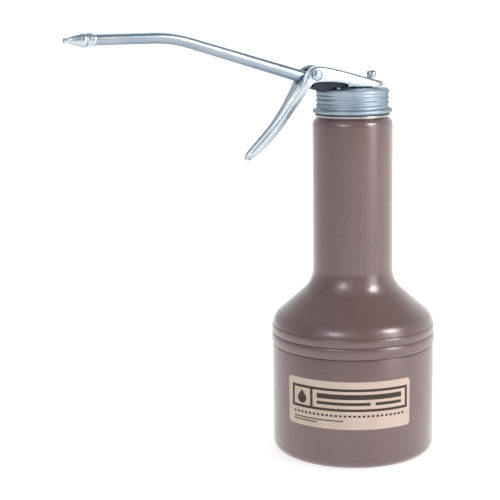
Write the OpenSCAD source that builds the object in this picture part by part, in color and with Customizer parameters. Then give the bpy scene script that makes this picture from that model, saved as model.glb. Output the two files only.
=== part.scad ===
// Handy oiler can: a drawn steel can with a screw-on plunger pump, a cranked spout and a trigger lever.
// Millimetres. The origin is the centre of the can's base, +Z is up and the spout points to -X.
// Squeezing the trigger turns the lever on its pivot, and the lever's tail lifts the pump rod.

/* [Can] */
// Radius of the can's body
body_r = 35; // [34:0.5:36]
// Height of the seam where the upper body laps over the lower cup
seam_z = 47.7; // [46.5:0.1:48.2]
// Thickness of the can's sheet
can_t = 0.6; // [0.5:0.05:0.7]
// Radius of the neck
neck_r = 17.15; // [17.05:0.05:17.6]

/* [Label] */
// Height of the label
label_h = 20.6; // [16:0.2:24]
// Height of the label's middle above the base
label_z = 28.2; // [26:0.2:30]
// Half of the angle that the label covers
label_half_angle = 46.4; // [30:0.2:60]
// Direction that the label faces, counted from +X
label_dir = -120.5; // [-180:0.5:180]

/* [Cap] */
// Radius of the cap's rolled skirt, over its thread rings
cap_r = 15.5; // [15.4:0.05:15.8]
// Radius of the curled edge at the bottom of the cap
curl_r = 16.9; // [16.8:0.1:17.4]
// Distance between two thread rings
thread_pitch = 1.95; // [1.9:0.05:2]

/* [Pump] */
// Distance of the pump rod from the can's axis
rod_x = 9; // [8.9:0.05:9]
// Inner radius of the pump barrel
barrel_r = 2.8; // [2.7:0.05:2.8]
// Radius of the pump rod
rod_r = 1.2; // [1.1:0.05:1.2]

/* [Spout] */
// Slope of the lower stretch of the spout, in degrees
spout_slope = 17.2; // [17:0.1:17.4]
// Radius of the spout's bend, on its axis
bend_r = 50; // [40:1:60]
// Distance of the nozzle's end from the can's axis
nozzle_end = 125.4; // [122:0.2:132]

/* [Trigger] */
// Radius of the pivot rivets
pivot_r = 1.25; // [1:0.05:1.3]
// Running clearance of the lever on its pivot rivets
pivot_clear = 0.05; // [0.02:0.01:0.08]

/* [Hidden] */
$fn = 64;
eps = 0.01;

enamel = [0.45, 0.36, 0.34];
zinc = [0.70, 0.73, 0.76];
brass = [0.78, 0.62, 0.32];

// Cap: the dome is part of a sphere, and the gland, feet and block follow it
dome_top = 158.5;
dome_r = 70;
dome_z = dome_top - dome_r;
cap_t = 0.6;
skirt_top = 155.9;
curl_z = 148.6;
ring_z = 150.9;
ring_depth = 0.45;

// Shoulder: two beads, a convex bend, a straight cone and a concave sweep into the neck
bead_1_h = 4.9;
bead_2_h = 3.8;
can_bend_r = 8;
can_bend_z = 55.4;
sweep_r = 14;
sweep_z = 81;
neck_edge_r = 3.8;
neck_edge_z = 142.5;

// Neck ferrule
mouth_r = 13.4;
ferrule_top = 154.85;
ferrule_foot = 141;
collar_z = 146.3;
collar_r = 16;

// Pump block and its passages
block_r = 13.1;
block_half_w = 6.6;
block_z = 145;
gallery_z = 147.2;
passage_r = 1;
valve_x = -5;
valve_r = 2;
seat_z = 148.4;
seat_t = 0.8;
plug_r = 1.4;
packing_r = 2.6;
packing_z = 154.6;
packing_t = 1.6;

// Barrel, foot valve and suction tube
barrel_out_r = 3.4;
barrel_top = 153;
barrel_foot = 117;
tube_r = 2;
tube_foot = 10;
foot_tail_z = 109.5;
tube_top = 113.3;
inlet_seat_z = 116.8;
inlet_ball_r = 1.6;
inlet_ball_z = 118;
outlet_ball_r = 1.25;
outlet_ball_z = 150.1;

// Plunger at rest, from its lower end
nut_z = 122;
nut_h = 1.4;
plate_t = 0.8;
plate_z = nut_z + nut_h;
cup_z = plate_z + plate_t;
follower_z = cup_z + plate_t;
shoulder_z = follower_z + plate_t;
button_z = 162.1;
rod_top = 163.6;

// Spout: its axis climbs from the elbow at a constant slope, and is level after the bend
elbow_z = 157.9;
elbow_r = 3.2;
socket_len = 9;
spigot_z = 154.8;
level_z = 181.3;
spout_base_r = 2.68;
spout_end_r = 2.2;
spout_t = 0.55;
spout_in_socket = 4;
spout_in_nozzle = 3.2;
nozzle_len = 13;
apex_x = valve_x - (level_z - elbow_z) / tan(spout_slope);
bend_len = bend_r * tan(spout_slope / 2);

// Pivot of the lever, and the ears that carry it
pivot_x = -19.4;
pivot_z = 164.4;
ear_in = 3.6;
ear_t = 1;
ear_r = 2.2;
foot_t = 0.9;
rivet_x = -9.5;
rivet_y = 5.75;
rivet_r = 0.65;

// Lever: one row for each station from the end of the tail to the tip of the trigger, with the
// outside of the web, the free edge of the flanges and half of the width
lever_t = 1;
LEVER = [[[13.6, 160.4], [13.5, 159.7], 1.6], [[12.9, 160.55], [12.8, 159.1], 3.7],
         [[11.5, 160.9], [11.3, 158.6], 4.7], [[9, 161.5], [8.7, 158.5], 5.3],
         [[3, 163.1], [2.6, 158.9], 5.8], [[-3, 164.8], [-2.4, 159.3], 6],
         [[-8, 166.1], [-7.2, 160.7], 6], [[-12.5, 167.2], [-11.6, 161.3], 6],
         [[-16, 167.9], [-15, 161.5], 6], [[-19, 168.05], [-18.2, 161.5], 6],
         [[-21.8, 167], [-20.6, 161.2], 6], [[-24, 164.7], [-21.8, 160.3], 6],
         [[-25.6, 161.8], [-22.7, 159], 5.7], [[-27.5, 158.7], [-23.8, 156.7], 5],
         [[-29.9, 155.1], [-26, 153], 4.4], [[-33.2, 150.2], [-29.6, 147.8], 3.8],
         [[-37.2, 144.9], [-33.8, 142.4], 3.4], [[-42, 139.8], [-39, 136.9], 3.2],
         [[-46.1, 135.7], [-43.6, 132.9], 2.9], [[-48.5, 133.2], [-46.7, 130.9], 2.6],
         [[-49.6, 131.5], [-48.4, 130], 1.8], [[-49.8, 130.7], [-49.4, 130], 0.8]];

// Points on an arc about c, from angle a0 to angle a1
function arc(c, r, a0, a1, n = 8) = [for (i = [0:n]) let (a = a0 + (a1 - a0) * i / n)
    c + r * [cos(a), sin(a)]];

// One point of a Catmull-Rom curve between b and c
function spline_at(a, b, c, d, t) = 0.5 * (2 * b + t * (c - a)
    + t * t * (2 * a - 5 * b + 4 * c - d) + t * t * t * (3 * b - a - 3 * c + d));

// A smooth curve through the points, n steps for each of its stretches
function spline(p, n = 3) = let (last = len(p) - 1) [for (i = [0:last - 1]) for (k = [0:n - 1])
    spline_at(p[max(i - 1, 0)], p[i], p[i + 1], p[min(i + 2, last)], k / n), p[last]];

// The curve moved sideways by d, to the left of its direction
function beside(p, d) = [for (i = [0:len(p) - 1])
    let (t = p[min(i + 1, len(p) - 1)] - p[max(i - 1, 0)]) p[i] + d * [-t.y, t.x] / norm(t)];

function reversed(p) = [for (i = [len(p) - 1:-1:0]) p[i]];

// A shell of revolution whose outside is the profile, drawn upwards
module spun_shell(profile, t) {
    rotate_extrude() polygon(concat(profile, reversed(beside(profile, t))));
}

// A prism along Y from an outline in X and Z
module along_y(y0, y1) {
    translate([0, y1, 0]) rotate([90, 0, 0]) linear_extrude(y1 - y0) children();
}

module ring(r_out, r_in, h) {
    difference() {
        cylinder(r = r_out, h = h);
        translate([0, 0, -eps]) cylinder(r = r_in, h = h + 2 * eps);
    }
}

// Both sides of the pump's plane
module both_sides() {
    children();
    mirror([0, 1, 0]) children();
}

// Thread rings: the radius swings between r and r - depth
function ringed(r, depth, z0, z1, n) = [for (i = [0:n]) let (z = z0 + (z1 - z0) * i / n)
    [r - depth / 2 + depth / 2 * cos(360 * (z - ring_z) / thread_pitch), z]];

module lower_cup() {
    bottom_arc_r = 4;
    lap_top = 53;
    color(enamel) rotate_extrude() polygon(concat(
        [[0, 0], [13, 0], [14.5, 1], [24.5, 1], [26, 0]],
        arc([body_r - bottom_arc_r, bottom_arc_r], bottom_arc_r, -90, 0),
        [[body_r, seam_z], [body_r - can_t, seam_z], [body_r - can_t, lap_top],
         [body_r - 2 * can_t, lap_top], [body_r - 2 * can_t, seam_z - 2], [body_r - can_t, seam_z - 3]],
        arc([body_r - bottom_arc_r, bottom_arc_r], bottom_arc_r - can_t, 0, -90),
        [[26.2, can_t], [24.7, 1 + can_t], [14.3, 1 + can_t], [12.8, can_t], [0, can_t]]));
}

// A bead that swells out of the body over the height h
function bead(z, h, swell) = [for (i = [0:8]) [body_r + swell * sin(180 * i / 8), z + h * i / 8]];

module neck_shell() {
    bead_top = seam_z + bead_1_h + bead_2_h;
    bend_start = asin((bead_top - can_bend_z) / can_bend_r) + 2;
    profile = concat(
        bead(seam_z, bead_1_h, 0.45), bead(seam_z + bead_1_h, bead_2_h, 0.3),
        arc([body_r - can_bend_r, can_bend_z], can_bend_r, bend_start, 48),
        arc([neck_r + sweep_r, sweep_z], sweep_r, 228, 180),
        arc([neck_r - neck_edge_r, neck_edge_z], neck_edge_r, 0, 62), [[15.1, collar_z]]);
    color(enamel) spun_shell(profile, can_t);
}

module neck_ferrule() {
    seat_r = 15.1 - can_t;
    color(zinc) rotate_extrude() polygon(concat(
        [[mouth_r, ferrule_foot], [seat_r, ferrule_foot], [seat_r, collar_z], [collar_r, collar_z],
         [collar_r, collar_z + 1.1]],
        ringed(14.35, 0.4, collar_z + 1.1, ferrule_top - 0.4, 36),
        [[13.9, ferrule_top], [mouth_r, ferrule_top]]));
}

module label() {
    label_t = 0.18;
    corner = 2;
    half_w = body_r * sin(label_half_angle);
    color([0.85, 0.72, 0.58]) rotate([0, 0, label_dir]) translate([0, 0, label_z]) intersection() {
        translate([0, 0, -label_h / 2]) ring(body_r + label_t, body_r, label_h);
        translate([20, 0, 0]) rotate([90, 0, 90]) linear_extrude(20) union() {
            square([2 * (half_w - corner), label_h], center = true);
            square([2 * half_w, label_h - 2 * corner], center = true);
            for (x = [-1, 1], y = [-1, 1])
                translate([x * (half_w - corner), y * (label_h / 2 - corner)]) circle(r = corner);
        }
    }
}

module cap_gasket() {
    color([0.16, 0.15, 0.14]) translate([0, 0, ferrule_top + 0.05]) ring(14.3, 13.3, 0.8);
}

module slip_washer() {
    color(brass) translate([0, 0, ferrule_top + 0.9]) ring(14.3, 13.3, 0.3);
}

// The elbow and its socket from the outside; the cap and the block are cut to fit it
module elbow_body(len) {
    translate([valve_x, 0, elbow_z]) {
        sphere(r = elbow_r);
        rotate([0, spout_slope - 90, 0]) cylinder(r = elbow_r, h = len);
    }
    translate([valve_x, 0, spigot_z]) cylinder(r = packing_r, h = elbow_z - spigot_z);
}

// Everything at or inside a sphere about the dome's centre
module under_dome(r) {
    translate([0, 0, dome_z]) sphere(r = r, $fn = 256);
}

module screw_cap() {
    edge_r = 1;
    skirt_foot = curl_z - 0.9;
    inner_r = cap_r - cap_t;
    color(zinc) difference() {
        union() {
            rotate_extrude() polygon(concat(
                [[0, skirt_foot], [curl_r - 0.9, skirt_foot]],
                arc([curl_r - 0.9, curl_z], 0.9, -90, 90, 8),
                [[cap_r - ring_depth, curl_z + 1.2]],
                ringed(cap_r, ring_depth, ring_z - thread_pitch / 2, ring_z + 2.5 * thread_pitch, 36),
                arc([cap_r - edge_r, skirt_top], edge_r, 0, 75, 5),
                [[0, skirt_top + edge_r]]));
            intersection() {
                under_dome(dome_r);
                translate([0, 0, skirt_top]) cylinder(r = cap_r - edge_r + 0.3, h = 5);
            }
        }
        rotate_extrude() polygon(concat(
            [[0, skirt_foot - 1], [collar_r + 0.3, skirt_foot - 1], [collar_r + 0.3, curl_z],
             [inner_r - ring_depth, curl_z + 1.2]],
            ringed(inner_r, ring_depth, ring_z - thread_pitch / 2, ring_z + 2.5 * thread_pitch - 0.4, 36),
            [[inner_r - 0.5, skirt_top + 0.2], [0, skirt_top + 0.2]]));
        intersection() {
            under_dome(dome_r - cap_t);
            translate([0, 0, skirt_top]) cylinder(r = inner_r - 0.5, h = 5);
        }
        elbow_body(socket_len);
        translate([rod_x, 0, block_z]) cylinder(r = packing_r, h = 20);
        both_sides() translate([rivet_x, rivet_y, block_z]) cylinder(r = rivet_r, h = 20);
    }
}

module pump_block() {
    color(zinc) difference() {
        intersection() {
            translate([0, 0, block_z]) cylinder(r = block_r, h = 15);
            translate([-20, -block_half_w, block_z]) cube([40, 2 * block_half_w, 15]);
            under_dome(dome_r - cap_t);
        }
        difference() {
            elbow_body(socket_len);
            translate([-20, -10, spigot_z - 5]) cube([14, 20, 5.8]);
        }
        translate([rod_x, 0, block_z - 1]) cylinder(r = barrel_out_r, h = barrel_top - block_z + 1);
        translate([rod_x, 0, barrel_top - 1]) cylinder(r = rod_r + 0.05, h = 10);
        translate([rod_x, 0, packing_z]) cylinder(r = packing_r, h = 10);
        translate([valve_x, 0, seat_z]) cylinder(r = valve_r, h = spigot_z - seat_z + 1);
        translate([valve_x, 0, gallery_z]) cylinder(r = passage_r, h = 3);
        translate([-20, 0, gallery_z]) rotate([0, 90, 0]) cylinder(r = passage_r, h = 20 + rod_x - 3);
        translate([-20, 0, gallery_z]) rotate([0, 90, 0]) cylinder(r = plug_r, h = 9.4);
        both_sides() translate([rivet_x, rivet_y, block_z + 4]) cylinder(r = rivet_r, h = 20);
    }
}

module gallery_plug() {
    color(brass) translate([-12.9, 0, gallery_z]) rotate([0, 90, 0]) cylinder(r = plug_r, h = 2.3);
}

module outlet_seat() {
    color(brass) translate([valve_x, 0, seat_z]) ring(valve_r, 0.9, seat_t);
}

// The plate that ties the two ears together under the spout
module tie_plate() {
    tie_t = 0.8;
    translate([valve_x, 0, elbow_z]) rotate([0, spout_slope, 0])
        translate([-15.8, -ear_in - ear_t, -spout_base_r - 0.1 - tie_t])
            cube([5.9, 2 * (ear_in + ear_t), tie_t]);
}

module fulcrum_bracket() {
    ear = [[-21.2, 163.1], [-19.9, 159.4], [-14.4, 157.6], [-13, 157], [-6, 157], [-6, 161.5],
           [-18.4, 166.4]];
    foot_out = 7;
    color(zinc) difference() {
        union() {
            both_sides() {
                difference() {
                    along_y(ear_in, ear_in + ear_t) union() {
                        polygon(ear);
                        translate([pivot_x, pivot_z]) circle(r = ear_r);
                    }
                    under_dome(dome_r);
                }
                difference() {
                    intersection() {
                        under_dome(dome_r + foot_t);
                        translate([-13, ear_in, 150]) cube([7, foot_out - ear_in, 15]);
                    }
                    under_dome(dome_r);
                }
            }
            tie_plate();
        }
        translate([pivot_x, -10, pivot_z]) rotate([-90, 0, 0]) cylinder(r = pivot_r, h = 20);
        both_sides() translate([rivet_x, rivet_y, block_z]) cylinder(r = rivet_r, h = 20);
    }
}

module bracket_rivets() {
    head_z = 157.9;
    head_r = 1;
    color(zinc) both_sides() translate([rivet_x, rivet_y, 0]) {
        translate([0, 0, block_z + 4]) cylinder(r = rivet_r, h = head_z - block_z - 3.2);
        difference() {
            intersection() {
                translate([0, 0, head_z]) sphere(r = 1.3);
                translate([0, 0, head_z - 2]) cylinder(r = head_r, h = 4);
            }
            translate([-rivet_x, -rivet_y, 0]) under_dome(dome_r + foot_t);
        }
    }
}

module pivot_rivets() {
    head_y = ear_in + ear_t + 1.5;
    color(zinc) both_sides() translate([pivot_x, 0, pivot_z]) rotate([-90, 0, 0]) {
        translate([0, 0, ear_in - 0.4]) cylinder(r = 1.6, h = 0.4);
        translate([0, 0, ear_in - 0.2]) cylinder(r = pivot_r, h = head_y - ear_in + 0.4);
        intersection() {
            translate([0, 0, head_y]) cylinder(r = 2.3, h = 1.2);
            translate([0, 0, head_y - 1.9]) sphere(r = 3.1);
        }
    }
}

module spout_elbow() {
    color(brass) difference() {
        difference() {
            elbow_body(socket_len);
            translate([-20, -10, spigot_z - 5]) cube([14, 20, 5.8]);
        }
        translate([valve_x, 0, spigot_z - 1]) cylinder(r = passage_r, h = elbow_z - spigot_z + 1);
        translate([valve_x, 0, elbow_z]) sphere(r = passage_r);
        translate([valve_x, 0, elbow_z]) rotate([0, spout_slope - 90, 0]) {
            cylinder(r = passage_r, h = 5);
            translate([0, 0, spout_in_socket]) cylinder(r = spout_base_r, h = 10);
        }
    }
}

// A pipe swept along points in the plane of X and Z, with an outer radius for each point
module pipe(path, radii, t, sides = 40) {
    last = len(path) - 1;
    dirs = [for (i = [0:last]) let (d = path[min(i + 1, last)] - path[max(i - 1, 0)]) d / norm(d)];
    loops = concat([for (i = [0:last]) [i, 0]], [for (i = [last:-1:0]) [i, t]]);
    n = len(loops);
    points = [for (l = loops) for (k = [0:sides - 1])
        let (i = l[0], r = radii[i] - l[1], a = 360 * k / sides, s = r * cos(a))
            [path[i].x - s * dirs[i].y, r * sin(a), path[i].y + s * dirs[i].x]];
    faces = [for (j = [0:n - 1]) for (k = [0:sides - 1])
        let (a = j * sides, b = (j + 1) % n * sides, m = (k + 1) % sides)
            each [[a + k, a + m, b + k], [b + k, a + m, b + m]]];
    polyhedron(points, faces);
}

module spout_tube() {
    start = [valve_x, elbow_z] + spout_in_socket * [-cos(spout_slope), sin(spout_slope)];
    end = [-nozzle_end + nozzle_len - spout_in_nozzle, level_z];
    bend = arc([apex_x - bend_len, level_z - bend_r], bend_r, 90 - spout_slope, 90, 10);
    path = concat([start], bend, [end]);
    radii = concat([spout_base_r], [for (p = bend) spout_end_r], [spout_end_r]);
    color(zinc) pipe(path, radii, spout_t);
}

module nozzle_tip() {
    tip_r = 1;
    widest_r = 2.9;
    groove_r = 2.4;
    hex_z = 9.6;
    hex_h = 2.1;
    sleeve_r = 2.45;
    outlet_r = 0.5;
    color(zinc) translate([-nozzle_end, 0, level_z]) rotate([0, 90, 0]) difference() {
        union() {
            cylinder(r = tip_r, h = 2.6);
            rotate_extrude() polygon([[0, 2.2], [1.15, 2.2], [1.75, 4], [2.4, 5.6], [2.75, 6.8],
                                      [widest_r, 8.2], [2.75, 9.1], [groove_r, 9.4],
                                      [groove_r, hex_z + 0.1], [0, hex_z + 0.1]]);
            translate([0, 0, hex_z]) cylinder(r = widest_r, h = hex_h, $fn = 6);
            translate([0, 0, hex_z + hex_h - 0.1])
                cylinder(r = sleeve_r, h = nozzle_len - hex_z - hex_h + 0.1);
        }
        translate([0, 0, -1]) cylinder(r = outlet_r, h = 8);
        translate([0, 0, 5.2]) cylinder(r = 1.4, h = 5);
        translate([0, 0, nozzle_len - spout_in_nozzle]) cylinder(r = spout_end_r, h = 5);
    }
}

module gland_nut() {
    color(brass) translate([rod_x, 0, 0]) difference() {
        union() {
            translate([0, 0, packing_z + packing_t]) cylinder(r = packing_r, h = 2.4);
            translate([0, 0, 158.3]) cylinder(r = 2.9, h = 0.8);
        }
        translate([0, 0, 150]) cylinder(r = rod_r + 0.05, h = 15);
    }
}

module gland_packing() {
    color([0.25, 0.22, 0.2]) translate([rod_x, 0, packing_z])
        ring(packing_r, rod_r + 0.02, packing_t);
}

module pump_barrel() {
    color(brass) difference() {
        translate([rod_x, 0, barrel_foot]) ring(barrel_out_r, barrel_r, barrel_top - barrel_foot);
        translate([0, 0, gallery_z]) rotate([0, 90, 0]) cylinder(r = passage_r, h = rod_x);
    }
}

module foot_valve_body() {
    spigot_top = 121.4;
    color(brass) translate([rod_x, 0, 0]) difference() {
        union() {
            translate([0, 0, foot_tail_z]) cylinder(r = 2.9, h = 4);
            translate([0, 0, foot_tail_z + 4]) cylinder(r = 4, h = barrel_foot - foot_tail_z - 4, $fn = 6);
            translate([0, 0, barrel_foot]) cylinder(r = barrel_r, h = spigot_top - barrel_foot);
        }
        translate([0, 0, foot_tail_z - 1]) cylinder(r = tube_r, h = tube_top - foot_tail_z + 1);
        translate([0, 0, foot_tail_z]) cylinder(r = 1.1, h = 10);
        translate([0, 0, inlet_seat_z]) cylinder(r = 2.1, h = 10);
    }
}

module inlet_cage() {
    color(brass) translate([rod_x, 0, 120.5]) difference() {
        cylinder(r = 2.1, h = 0.6);
        for (a = [0:120:240]) rotate([0, 0, a]) translate([1.2, 0, -1]) cylinder(r = 0.55, h = 3);
    }
}

module suction_tube() {
    color(brass) translate([rod_x, 0, tube_foot]) ring(tube_r, tube_r - 0.5, tube_top - tube_foot);
}

module strainer() {
    foot = 5;
    color(brass) translate([rod_x, 0, foot]) difference() {
        cylinder(r = 3.9, h = 7.5);
        translate([0, 0, 0.6]) cylinder(r = 3.3, h = 4.4);
        translate([0, 0, 4]) cylinder(r = tube_r, h = 10);
        for (a = [0:45:315]) rotate([0, 0, a]) translate([2, -0.5, 1.4]) cube([3, 1, 2.8]);
        for (a = [0:60:300]) rotate([0, 0, a]) translate([2, 0, -1]) cylinder(r = 0.5, h = 3);
        translate([0, 0, -1]) cylinder(r = 0.5, h = 3);
    }
}

// A sweep of the lever's channel section through all its stations
module lever_channel() {
    web = spline([for (row = LEVER) row[0]]);
    edge = spline([for (row = LEVER) row[1]]);
    half = spline([for (row = LEVER) [row[2], 0]]);
    inner = beside(web, lever_t);
    n = len(web);
    sections = [for (i = [0:n - 1])
        let (w = half[i].x, v = max(w - lever_t, 0.2), p = web[i], q = inner[i], e = edge[i])
        [[p.x, -w, p.y], [p.x, w, p.y], [e.x, w, e.y], [e.x, v, e.y],
         [q.x, v, q.y], [q.x, -v, q.y], [e.x, -v, e.y], [e.x, -w, e.y]]];
    points = [for (s = sections) each s];
    sides = [for (i = [0:n - 2]) for (k = [0:7])
        let (a = 8 * i + k, b = 8 * i + (k + 1) % 8) each [[a, b, a + 8], [b, b + 8, a + 8]]];
    end_cap = [[0, 7, 5], [7, 6, 5], [0, 5, 1], [5, 4, 1], [1, 4, 2], [4, 3, 2]];
    tip_cap = [for (f = end_cap) [f[2] + 8 * (n - 1), f[1] + 8 * (n - 1), f[0] + 8 * (n - 1)]];
    polyhedron(points, concat(sides, end_cap, tip_cap));
}

module trigger_lever() {
    slot_w = 3.3;
    rod_slot_w = 1.45;
    color(zinc) difference() {
        lever_channel();
        translate([pivot_x, -10, pivot_z]) rotate([-90, 0, 0])
            cylinder(r = pivot_r + pivot_clear, h = 20);
        // The spout passes through this slot over the whole travel
        translate([-19.5, 0, 164]) cylinder(r = slot_w, h = 8);
        translate([-32, -slot_w, 163.8]) cube([12.5, 2 * slot_w, 8]);
        translate([-32, 0, 163.8]) rotate([0, 90, 0]) cylinder(r = slot_w, h = 9.5);
        // The pump rod passes through this slot, under its button
        for (x = [rod_x - 0.15, rod_x + 0.55]) translate([x, 0, 157]) cylinder(r = rod_slot_w, h = 8);
        translate([rod_x - 0.15, -rod_slot_w, 157]) cube([0.7, 2 * rod_slot_w, 8]);
    }
}

module rod_button() {
    color(zinc) translate([rod_x, 0, 0]) difference() {
        rotate_extrude() polygon(concat([[0, button_z], [1.9, button_z], [1.9, 163.2], [2.1, 163.4]],
                                        arc([0, 163.6], 2.1, 0, 60, 6), [[0, 165.4]]));
        translate([0, 0, button_z - 1]) cylinder(r = rod_r, h = rod_top - button_z + 1);
    }
}

module pump_rod() {
    color(zinc) translate([rod_x, 0, 0]) {
        translate([0, 0, nut_z - 0.2]) cylinder(r = 0.9, h = shoulder_z - nut_z + 0.4);
        translate([0, 0, shoulder_z]) cylinder(r = rod_r, h = rod_top - shoulder_z);
    }
}

module follower_washer() {
    color(zinc) translate([rod_x, 0, follower_z]) ring(2.1, 0.9, plate_t);
}

module piston_cup() {
    lip_top = 127.2;
    cup_r = barrel_r - 0.03;
    color([0.35, 0.22, 0.13]) translate([rod_x, 0, cup_z]) difference() {
        cylinder(r = cup_r, h = lip_top - cup_z);
        translate([0, 0, plate_t]) cylinder(r = 2.2, h = 10);
        translate([0, 0, -1]) cylinder(r = 0.9, h = 10);
    }
}

module backing_plate() {
    color(brass) translate([rod_x, 0, plate_z]) ring(2.4, 0.9, plate_t);
}

module piston_nut() {
    color(brass) translate([rod_x, 0, nut_z]) difference() {
        cylinder(r = 2.1, h = nut_h, $fn = 6);
        translate([0, 0, -1]) cylinder(r = 0.9, h = 5);
    }
}

// A compression spring from z0 to z1, with a wire of radius w on a mean radius r
module spring(r, w, z0, z1, turns, steps = 14, sides = 6) {
    n = turns * steps;
    points = [for (i = [0:n]) let (a = 360 * i / steps, z = z0 + w + (z1 - z0 - 2 * w) * i / n)
        for (k = [0:sides - 1]) let (b = 360 * k / sides, s = r + w * cos(b))
            [s * cos(a), s * sin(a), z + w * sin(b)]];
    walls = [for (i = [0:n - 1]) for (k = [0:sides - 1])
        let (p = sides * i + k, q = sides * i + (k + 1) % sides)
            each [[p, p + sides, q], [q, p + sides, q + sides]]];
    start_cap = [for (k = [1:sides - 2]) [0, k, k + 1]];
    end_cap = [for (k = [1:sides - 2]) [n * sides, n * sides + k + 1, n * sides + k]];
    polyhedron(points, concat(walls, start_cap, end_cap));
}

module return_spring() {
    color(zinc) translate([rod_x, 0, 0]) spring(1.8, 0.28, shoulder_z, barrel_top, 12);
}

module outlet_spring() {
    color(zinc) translate([valve_x, 0, 0]) spring(1.2, 0.16, outlet_ball_z + 0.6, spigot_z, 5);
}

module inlet_ball() {
    color([0.8, 0.8, 0.82]) translate([rod_x, 0, inlet_ball_z]) sphere(r = inlet_ball_r);
}

module outlet_ball() {
    color([0.8, 0.8, 0.82]) translate([valve_x, 0, outlet_ball_z]) sphere(r = outlet_ball_r);
}

lower_cup();
neck_shell();
neck_ferrule();
label();
cap_gasket();
slip_washer();
screw_cap();
pump_block();
gallery_plug();
outlet_seat();
fulcrum_bracket();
bracket_rivets();
pivot_rivets();
spout_elbow();
spout_tube();
nozzle_tip();
gland_nut();
gland_packing();
pump_barrel();
foot_valve_body();
inlet_cage();
suction_tube();
strainer();
trigger_lever();
rod_button();
pump_rod();
follower_washer();
piston_cup();
backing_plate();
piston_nut();
return_spring();
outlet_spring();
inlet_ball();
outlet_ball();
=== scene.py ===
"""Looks of the handy oiler can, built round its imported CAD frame. Lengths are in metres."""
import math

import bmesh
import bpy
from mathutils import Matrix, Quaternion, Vector

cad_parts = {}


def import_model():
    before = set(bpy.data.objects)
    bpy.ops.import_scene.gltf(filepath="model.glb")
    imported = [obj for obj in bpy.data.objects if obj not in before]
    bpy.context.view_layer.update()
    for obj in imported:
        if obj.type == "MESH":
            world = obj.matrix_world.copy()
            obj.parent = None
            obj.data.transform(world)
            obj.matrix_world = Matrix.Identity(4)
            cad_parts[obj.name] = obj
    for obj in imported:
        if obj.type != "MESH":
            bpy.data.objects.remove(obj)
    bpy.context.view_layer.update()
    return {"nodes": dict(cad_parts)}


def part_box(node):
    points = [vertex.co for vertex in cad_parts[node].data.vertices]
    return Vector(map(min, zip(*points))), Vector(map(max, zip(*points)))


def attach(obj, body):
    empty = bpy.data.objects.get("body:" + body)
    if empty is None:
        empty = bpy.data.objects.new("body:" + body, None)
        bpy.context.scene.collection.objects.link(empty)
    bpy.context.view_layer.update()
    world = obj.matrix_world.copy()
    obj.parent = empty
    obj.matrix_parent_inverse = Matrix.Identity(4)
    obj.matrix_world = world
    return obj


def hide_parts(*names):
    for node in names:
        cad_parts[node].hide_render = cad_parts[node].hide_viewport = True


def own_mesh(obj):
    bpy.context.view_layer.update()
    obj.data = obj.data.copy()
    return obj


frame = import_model()

MM = 0.001
TAU = 2 * math.pi
STEPS = 128  # corners round a turned piece


# ---------------------------------------------------------------- sizes, from the frame
def middle(node):
    low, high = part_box(node)
    return (low + high) / 2


BODY_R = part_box("lower_cup")[1].x
SEAM_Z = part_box("neck_shell")[0].z
NECK_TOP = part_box("neck_shell")[1].z
CAN_T = 0.6 * MM  # thickness of the can's sheet
NECK_R = 17.15 * MM
CURL_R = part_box("screw_cap")[1].x
CAP_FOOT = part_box("screw_cap")[0].z
CAP_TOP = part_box("screw_cap")[1].z
CAP_R = 15.5 * MM
PITCH = 1.95 * MM  # of the cap's thread
COLLAR_CLEAR_R = 16.3 * MM  # inside the cap's curled edge, clear of the ferrule's collar
FERRULE_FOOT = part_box("neck_ferrule")[0].z
FERRULE_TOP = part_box("neck_ferrule")[1].z
ROD = middle("pump_rod")
PIVOT = middle("pivot_rivets")
LEVEL_Z = middle("nozzle_tip").z
NOZZLE_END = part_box("nozzle_tip")[0].x
NOZZLE_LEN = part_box("nozzle_tip")[1].x - NOZZLE_END
ELBOW = Vector((-5 * MM, 0, 157.9 * MM))  # where the spout leaves the cap
SLOPE = math.radians(17.2)  # of the spout's first length
DOME_R = 70 * MM  # of the cap's low dome
DOME_Z = CAP_TOP - DOME_R
BACK = (0.385, 0.923, 0.0)  # level, away from the camera
RIGHT = (0.923, -0.385, 0.0)
LABEL_LOW, LABEL_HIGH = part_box("label")
LABEL_DIR = math.radians(-120.5)  # the way that the label faces
LABEL_HALF = BODY_R * math.radians(46.4)  # half of its width, along the can's curve
LABEL_MID = (LABEL_LOW.z + LABEL_HIGH.z) / 2
LABEL_HEIGHT = LABEL_HIGH.z - LABEL_LOW.z


# ---------------------------------------------------------------- mesh tools
def arc(centre, radius, start, end, steps=8):
    """Points on an arc in a plane, with its angles in degrees."""
    turn = [math.radians(start + (end - start) * i / steps) for i in range(steps + 1)]
    return [(centre[0] + radius * math.cos(a), centre[1] + radius * math.sin(a)) for a in turn]


def quarter(steps):
    """Angles from 0 to a quarter turn."""
    return [math.pi / 2 * k / steps for k in range(steps + 1)]


def in_mm(points):
    """Profile points that are written in millimetres, as metres."""
    return [(r * MM, z * MM) for r, z in points]


def spline(points, steps):
    """A Catmull-Rom curve through the points, which may have any number of values each."""
    out, last = [], len(points) - 1
    for i in range(last):
        a, b = points[max(i - 1, 0)], points[i]
        c, d = points[i + 1], points[min(i + 2, last)]
        for k in range(steps):
            t = k / steps
            out.append(tuple(
                0.5 * (2 * q + t * (r - p) + t * t * (2 * p - 5 * q + 4 * r - s)
                       + t ** 3 * (3 * q - p - 3 * r + s))
                for p, q, r, s in zip(a, b, c, d)))
    return out + [tuple(points[-1])]


def beside(path, distance):
    """The path moved sideways, to the left of its direction."""
    out = []
    for i, p in enumerate(path):
        q, r = path[max(i - 1, 0)], path[min(i + 1, len(path) - 1)]
        tx, ty = r[0] - q[0], r[1] - q[1]
        n = math.hypot(tx, ty) or 1
        out.append((p[0] - distance * ty / n, p[1] + distance * tx / n))
    return out


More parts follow.
